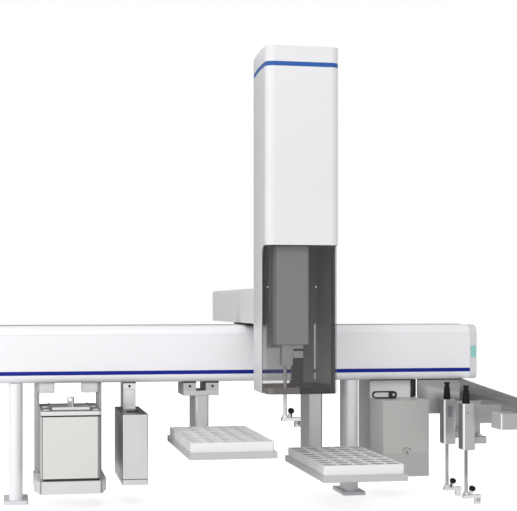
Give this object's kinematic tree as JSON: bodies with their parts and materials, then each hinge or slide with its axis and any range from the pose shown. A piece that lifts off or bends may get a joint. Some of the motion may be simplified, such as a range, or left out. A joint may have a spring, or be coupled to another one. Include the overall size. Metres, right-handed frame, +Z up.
{
  "type": "autosampler",
  "caption": "Bench-top autosampler: a legged beam with a travelling arm and tall needle head over hung vial trays, a heated agitator, a fibre heater and parked tools.",
  "frame": {"origin": "middle of the whole object in plan, on the bench under the feet", "axes": "+X along the beam to its right end as seen from the front, +Y to the rear, +Z up"},
  "size_m": [0.85, 0.638, 0.734],
  "materials": {
    "coated_white": "satin coating",
    "blue_stripe": "gloss",
    "moulded_white": "fine matt",
    "teal_lens": "clear lens",
    "blue_band": "satin",
    "rail_steel": "ground",
    "belt_rubber": "matt",
    "motor_dark": "satin",
    "pulley_alloy": "turned",
    "unit_grey": "zinc plated",
    "leg_satin": "satin",
    "agitator_metal": "satin",
    "agitator_panel": "matt coating",
    "shutter_grey": "satin",
    "heater_metal": "satin",
    "hanger_metal": "brushed",
    "tray_grey": "fine matt",
    "rack_white": "matt",
    "conditioner_grey": "satin",
    "bracket_pale": "satin",
    "lever_black": "matt",
    "adjuster_grey": "turned",
    "park_metal": "brushed",
    "tool_silver": "satin",
    "grip_black": "matt",
    "guide_grey": "satin",
    "knob_black": "knurled",
    "carriage_black": "anodised",
    "frame_alloy": "milled",
    "arm_shell": "satin coating",
    "rim_grey": "fine matt",
    "smoked": "smoked, clear",
    "cover_grey": "fine matt",
    "syringe_glass": "clear",
    "plunger_metal": "ground"
  },
  "bodies": {
    "frame": {"beam_extrusion": "coated_white", "beam_top_cover": "coated_white", "beam_stripe": "blue_stripe", "end_caps": "moulded_white", "status_light": "teal_lens", "x_guide_rail": "rail_steel", "x_belt": "belt_rubber", "x_motor": "motor_dark", "power_unit": "unit_grey", "legs": "leg_satin", "foot_plates": "leg_satin", "agitator_bracket": "agitator_metal", "agitator_base": "agitator_metal", "agitator_housing": "agitator_panel", "agitator_top_plate": "agitator_metal", "heater_bracket": "heater_metal", "heater_housing": "heater_metal", "tray_hangers": "hanger_metal", "tray_plates": "tray_grey", "conditioner_bracket": "bracket_pale", "conditioner_housing": "conditioner_grey", "park_arm": "park_metal", "park_clips": "park_metal"},
    "drive_pulley": {"x_drive_pulley": "pulley_alloy"},
    "idler_pulley": {"x_idler_pulley": "pulley_alloy"},
    "shutter": {"agitator_shutter": "shutter_grey"},
    "turning_block": {"agitator_block": "agitator_metal"},
    "left_rack_set": {"left_racks": "rack_white"},
    "right_rack_set": {"right_racks": "rack_white"},
    "lever": {"conditioner_lever": "lever_black"},
    "adjuster": {"flow_adjuster": "adjuster_grey"},
    "carriage": {"x_carriage": "carriage_black"},
    "arm": {"arm_frame": "frame_alloy", "arm_cover": "arm_shell", "y_guide_rail": "rail_steel", "y_motor": "motor_dark", "head_frame": "frame_alloy", "head_cover": "moulded_white", "head_band": "blue_band", "head_base": "rim_grey", "hood": "smoked", "z_guide_rail": "rail_steel", "z_motor": "motor_dark"},
    "y_screw": {"y_lead_screw": "rail_steel"},
    "z_screw": {"z_lead_screw": "rail_steel"},
    "tool_carriage": {"z_carriage": "frame_alloy", "carriage_cover": "cover_grey", "tool_body": "tool_silver", "syringe": "syringe_glass"},
    "syringe_plunger": {"plunger": "plunger_metal"},
    "guide": {"needle_guide": "guide_grey"},
    "knob": {"guide_knob": "knob_black"},
    "tool_1": {"tool_1_body": "tool_silver"},
    "plunger_1": {"tool_1_plunger": "grip_black"},
    "guide_1": {"tool_1_guide": "guide_grey"},
    "knob_1": {"tool_1_knob": "knob_black"},
    "tool_2": {"tool_2_body": "tool_silver"},
    "plunger_2": {"tool_2_plunger": "grip_black"},
    "guide_2": {"tool_2_guide": "guide_grey"},
    "knob_2": {"tool_2_knob": "knob_black"}
  },
  "joints": [
    {"name": "x_slide", "type": "slide", "parent": "frame", "child": "carriage", "axis": [1, 0, 0], "range_m": [-0.37, 0.205]},
    {"name": "y_slide", "type": "slide", "parent": "carriage", "child": "arm", "axis": [0, -1, 0], "range_m": [-0.085, 0.17]},
    {"name": "z_slide", "type": "slide", "parent": "arm", "child": "tool_carriage", "axis": [0, 0, -1], "range_m": [-0.1, 0.1]},
    {"name": "plunger_slide", "type": "slide", "parent": "tool_carriage", "child": "syringe_plunger", "axis": [0, 0, 1], "range_m": [0, 0.05]},
    {"name": "guide_slide", "type": "slide", "parent": "tool_carriage", "child": "guide", "axis": [0, 0, 1], "range_m": [0, 0.03]},
    {"name": "knob_turn", "type": "hinge", "parent": "guide", "child": "knob", "pos_m": [0.0419, -0.237, 0.166], "axis": [0, 1, 0], "range_deg": [-180, 180]},
    {"name": "drive_pulley_turn", "type": "hinge", "parent": "frame", "child": "drive_pulley", "pos_m": [0.385, 0.052, 0.2486], "axis": [0, 1, 0], "range_deg": [-1800, 1000]},
    {"name": "idler_pulley_turn", "type": "hinge", "parent": "frame", "child": "idler_pulley", "pos_m": [-0.385, 0.052, 0.2486], "axis": [0, 1, 0], "range_deg": [-1800, 1000]},
    {"name": "y_screw_turn", "type": "hinge", "parent": "arm", "child": "y_screw", "pos_m": [0.0812, 0.019, 0.328], "axis": [0, 1, 0], "range_deg": [-1560, 3100]},
    {"name": "z_screw_turn", "type": "hinge", "parent": "arm", "child": "z_screw", "pos_m": [0.0828, -0.164, 0.43], "axis": [0, 0, 1], "range_deg": [-1850, 1850]},
    {"name": "shutter_slide", "type": "slide", "parent": "frame", "child": "shutter", "axis": [0, 1, 0], "range_m": [0, 0.055]},
    {"name": "block_turn", "type": "hinge", "parent": "frame", "child": "turning_block", "pos_m": [-0.295, -0.082, 0.09], "axis": [0, 0, 1], "continuous": true},
    {"name": "left_rack_lift", "type": "slide", "parent": "frame", "child": "left_rack_set", "axis": [0, 0, 1], "range_m": [0, 0.06]},
    {"name": "right_rack_lift", "type": "slide", "parent": "frame", "child": "right_rack_set", "axis": [0, 0, 1], "range_m": [0, 0.06]},
    {"name": "lever_turn", "type": "hinge", "parent": "frame", "child": "lever", "pos_m": [0.2666, -0.051, 0.1751], "axis": [0, 1, 0], "range_deg": [0, 75]},
    {"name": "adjuster_turn", "type": "hinge", "parent": "frame", "child": "adjuster", "pos_m": [0.2764, -0.097, 0.08], "axis": [0, 1, 0], "range_deg": [-135, 135]},
    {"name": "tool_1_slide", "type": "slide", "parent": "frame", "child": "tool_1", "axis": [-1, 0, 0], "range_m": [0, 0.04]},
    {"name": "plunger_1_slide", "type": "slide", "parent": "tool_1", "child": "plunger_1", "axis": [0, 0, 1], "range_m": [0, 0.04]},
    {"name": "guide_1_slide", "type": "slide", "parent": "tool_1", "child": "guide_1", "axis": [0, 0, 1], "range_m": [0, 0.03]},
    {"name": "knob_1_turn", "type": "hinge", "parent": "guide_1", "child": "knob_1", "pos_m": [0.3412, -0.142, 0.036], "axis": [0, 1, 0], "range_deg": [-180, 180]},
    {"name": "tool_2_slide", "type": "slide", "parent": "frame", "child": "tool_2", "axis": [-1, 0, 0], "range_m": [0, 0.04]},
    {"name": "plunger_2_slide", "type": "slide", "parent": "tool_2", "child": "plunger_2", "axis": [0, 0, 1], "range_m": [0, 0.04]},
    {"name": "guide_2_slide", "type": "slide", "parent": "tool_2", "child": "guide_2", "axis": [0, 0, 1], "range_m": [0, 0.03]},
    {"name": "knob_2_turn", "type": "hinge", "parent": "guide_2", "child": "knob_2", "pos_m": [0.3412, -0.235, 0.036], "axis": [0, 1, 0], "range_deg": [-180, 180]}
  ],
  "couplings": [
    {"joint": "drive_pulley_turn", "follows": "x_slide", "rad_per_m": 83.333},
    {"joint": "idler_pulley_turn", "follows": "x_slide", "rad_per_m": 83.333},
    {"joint": "y_screw_turn", "follows": "y_slide", "rad_per_m": 314.16},
    {"joint": "z_screw_turn", "follows": "z_slide", "rad_per_m": 314.16}
  ]
}
